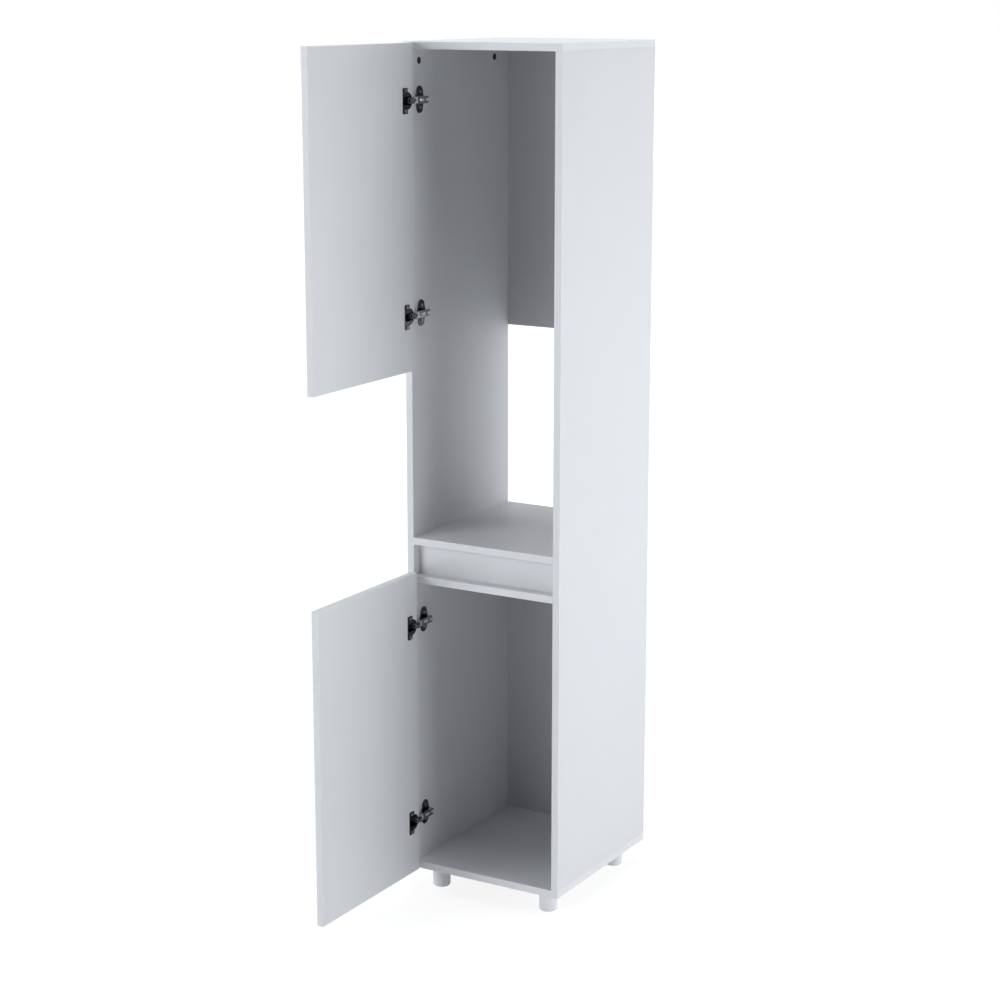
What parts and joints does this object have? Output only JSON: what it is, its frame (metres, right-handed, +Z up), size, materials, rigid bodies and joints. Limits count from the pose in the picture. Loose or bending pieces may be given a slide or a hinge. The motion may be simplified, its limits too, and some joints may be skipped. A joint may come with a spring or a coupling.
{
  "type": "water dispenser cabinet",
  "caption": "Tall narrow white cabinet for a bottled-water dispenser: handleless doors above and below an open niche, a finger recess, concealed hinges and round feet.",
  "frame": {"origin": "on the floor, under the middle of the box around the cabinet with its doors square open", "axes": "+Z up, -Y to the front where the doors open, +X to the right as seen from the front"},
  "size_m": [0.378, 0.7942, 1.87],
  "materials": {
    "white_melamine_board": "satin white melamine on chipboard",
    "white_edge_band": "satin",
    "white_hardboard": "white lacquered face",
    "white_plastic": "moulded, fine grain",
    "nickel_plated_steel": "nickel plated",
    "zinc_plated_steel": "bright zinc",
    "dark_zinc": "dark cast zinc",
    "beech": "plain fluted beech"
  },
  "bodies": {
    "carcass": {"back_panel_screws": "zinc_plated_steel", "bottom_panel": "white_melamine_board", "cam_bolts": "zinc_plated_steel", "cam_housings": "dark_zinc", "carcass_edge_bands": "white_edge_band", "connector_screws": "zinc_plated_steel", "foot_front_left": "white_plastic", "foot_front_right": "white_plastic", "foot_rear_left": "white_plastic", "foot_rear_right": "white_plastic", "foot_screws": "zinc_plated_steel", "hinge_adjusting_screws": "nickel_plated_steel", "hinge_link_pins": "nickel_plated_steel", "hinge_plate_screws": "zinc_plated_steel", "left_side_panel": "white_melamine_board", "lower_back_panel": "white_hardboard", "lower_door_bottom_hinge_arm": "nickel_plated_steel", "lower_door_bottom_hinge_plate": "nickel_plated_steel", "lower_door_top_hinge_arm": "nickel_plated_steel", "lower_door_top_hinge_plate": "nickel_plated_steel", "lower_shelf": "white_melamine_board", "niche_shelf": "white_melamine_board", "recess_fascia": "white_melamine_board", "right_side_panel": "white_melamine_board", "top_panel": "white_melamine_board", "upper_back_panel": "white_hardboard", "upper_door_bottom_hinge_arm": "nickel_plated_steel", "upper_door_bottom_hinge_plate": "nickel_plated_steel", "upper_door_top_hinge_arm": "nickel_plated_steel", "upper_door_top_hinge_plate": "nickel_plated_steel", "wooden_dowels": "beech"},
    "upper_door": {"upper_door_bottom_hinge_cup": "nickel_plated_steel", "upper_door_cup_screws": "zinc_plated_steel", "upper_door_edge_bands": "white_edge_band", "upper_door_panel": "white_melamine_board", "upper_door_top_hinge_cup": "nickel_plated_steel"},
    "upper_door_outer_links": {"upper_door_bottom_hinge_outer_link": "nickel_plated_steel", "upper_door_top_hinge_outer_link": "nickel_plated_steel"},
    "upper_door_inner_links": {"upper_door_bottom_hinge_inner_link": "nickel_plated_steel", "upper_door_top_hinge_inner_link": "nickel_plated_steel"},
    "lower_door": {"lower_door_bottom_hinge_cup": "nickel_plated_steel", "lower_door_cup_screws": "zinc_plated_steel", "lower_door_edge_bands": "white_edge_band", "lower_door_panel": "white_melamine_board", "lower_door_top_hinge_cup": "nickel_plated_steel"},
    "lower_door_outer_links": {"lower_door_bottom_hinge_outer_link": "nickel_plated_steel", "lower_door_top_hinge_outer_link": "nickel_plated_steel"},
    "lower_door_inner_links": {"lower_door_bottom_hinge_inner_link": "nickel_plated_steel", "lower_door_top_hinge_inner_link": "nickel_plated_steel"}
  },
  "joints": [
    {"name": "upper_door_swing", "type": "hinge", "parent": "carcass", "child": "upper_door", "pos_m": [-0.1762, -0.0334, 1.5255], "axis": [0, 0, -1], "range_deg": [-90, 10]},
    {"name": "upper_door_outer_links_turn", "type": "hinge", "parent": "carcass", "child": "upper_door_outer_links", "pos_m": [-0.157, -0.0199, 1.5255], "axis": [0, 0, -1], "range_deg": [-8.5, 75.1]},
    {"name": "upper_door_inner_links_turn", "type": "hinge", "parent": "carcass", "child": "upper_door_inner_links", "pos_m": [-0.1575, -0.0157, 1.5255], "axis": [0, 0, -1], "range_deg": [-5.8, 51.4]},
    {"name": "lower_door_swing", "type": "hinge", "parent": "carcass", "child": "lower_door", "pos_m": [-0.1762, -0.0334, 0.397], "axis": [0, 0, -1], "range_deg": [-90, 10]},
    {"name": "lower_door_outer_links_turn", "type": "hinge", "parent": "carcass", "child": "lower_door_outer_links", "pos_m": [-0.157, -0.0199, 0.397], "axis": [0, 0, -1], "range_deg": [-8.5, 75.1]},
    {"name": "lower_door_inner_links_turn", "type": "hinge", "parent": "carcass", "child": "lower_door_inner_links", "pos_m": [-0.1575, -0.0157, 0.397], "axis": [0, 0, -1], "range_deg": [-5.8, 51.4]}
  ],
  "couplings": [
    {"joint": "upper_door_outer_links_turn", "follows": "upper_door_swing", "ratio": -0.83333},
    {"joint": "upper_door_inner_links_turn", "follows": "upper_door_swing", "ratio": -0.57},
    {"joint": "lower_door_outer_links_turn", "follows": "lower_door_swing", "ratio": -0.83333},
    {"joint": "lower_door_inner_links_turn", "follows": "lower_door_swing", "ratio": -0.57}
  ]
}
